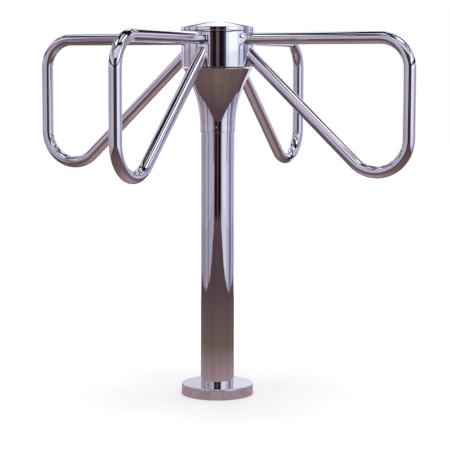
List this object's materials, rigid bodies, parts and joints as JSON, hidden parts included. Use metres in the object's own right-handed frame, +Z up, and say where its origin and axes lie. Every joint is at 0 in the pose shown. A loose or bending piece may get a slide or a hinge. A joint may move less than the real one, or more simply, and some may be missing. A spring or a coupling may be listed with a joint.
{
  "type": "visitor counter turnstile",
  "caption": "Waist-high post turnstile: a bell-topped post carries a round drum with bent-tube loop arms on a ball-bearing spindle, with indexing, a ratchet and a count sensor.",
  "frame": {"origin": "on the floor, under the middle of the post", "axes": "+Z up the post; at rest the arms lie along +X, -Y, -X and +Y"},
  "size_m": [1.0997, 1.0996, 0.999],
  "materials": {
    "chrome": "polished chrome plate",
    "plated_steel": "zinc plated",
    "bearing_steel": "ground",
    "cast_hub": "as cast",
    "hard_steel": "hardened, oiled",
    "spring_steel": "drawn wire",
    "nylon": "turned",
    "sensor_plastic": "moulded",
    "rubber": "moulded",
    "magnet": "nickel plated"
  },
  "bodies": {
    "pedestal": {"floor_plate": "plated_steel", "cable_grommet": "rubber", "post_tube": "chrome", "head_plate": "plated_steel", "bell_housing": "chrome", "bell_screws": "chrome", "spindle": "hard_steel", "spindle_tail_washer": "plated_steel", "spindle_tail_nut": "plated_steel", "spindle_top_washer": "plated_steel", "spindle_top_nut": "plated_steel", "lower_bearing_inner_ring": "bearing_steel", "upper_bearing_inner_ring": "bearing_steel", "bearing_spacer": "plated_steel", "detent_pivot_pin": "hard_steel", "pawl_pivot_pin": "hard_steel", "spring_anchor_pins": "hard_steel", "count_sensor": "sensor_plastic", "sensor_bracket": "plated_steel", "sensor_screws": "plated_steel"},
    "cover": {"base_cover": "chrome"},
    "rotor": {"hub_core": "cast_hub", "lower_bearing_outer_ring": "bearing_steel", "upper_bearing_outer_ring": "bearing_steel", "lower_bearing_balls": "bearing_steel", "upper_bearing_balls": "bearing_steel", "drum_shell": "chrome", "drum_floor": "chrome", "drum_top_screws": "plated_steel", "drum_floor_screws": "plated_steel", "hub_cap": "chrome", "cap_screws": "plated_steel", "arm_right": "chrome", "arm_front": "chrome", "arm_left": "chrome", "arm_rear": "chrome", "upper_arm_plugs": "plated_steel", "lower_arm_plugs": "plated_steel", "arm_washers": "plated_steel", "arm_bolts": "plated_steel", "index_cam": "hard_steel", "ratchet_wheel": "hard_steel", "cam_screws": "plated_steel", "count_magnets": "magnet"},
    "detent": {"detent_lever": "hard_steel", "roller_pin": "hard_steel", "detent_spring": "spring_steel"},
    "roller": {"detent_roller": "nylon"},
    "ratchet_pawl": {"pawl": "hard_steel", "pawl_spring": "spring_steel"}
  },
  "joints": [
    {"name": "rotor_spin", "type": "hinge", "parent": "pedestal", "child": "rotor", "pos_m": [0, 0, 0.9], "axis": [0, 0, 1], "continuous": true},
    {"name": "base_cover_lift", "type": "slide", "parent": "pedestal", "child": "cover", "axis": [0, 0, 1], "range_m": [0, 0.3]},
    {"name": "detent_lever_swing", "type": "hinge", "parent": "pedestal", "child": "detent", "pos_m": [0.05982, 0.01174, 0.862], "axis": [0, 0, 1], "range_deg": [0, 6], "deforming": ["detent_spring"]},
    {"name": "detent_roller_spin", "type": "hinge", "parent": "detent", "child": "roller", "pos_m": [0.03578, 0.03578, 0.873], "axis": [0, 0, 1], "continuous": true},
    {"name": "pawl_swing", "type": "hinge", "parent": "pedestal", "child": "ratchet_pawl", "pos_m": [-0.00785, -0.05028, 0.865], "axis": [0, 0, 1], "range_deg": [-5.5, 0], "deforming": ["pawl_spring"]}
  ]
}
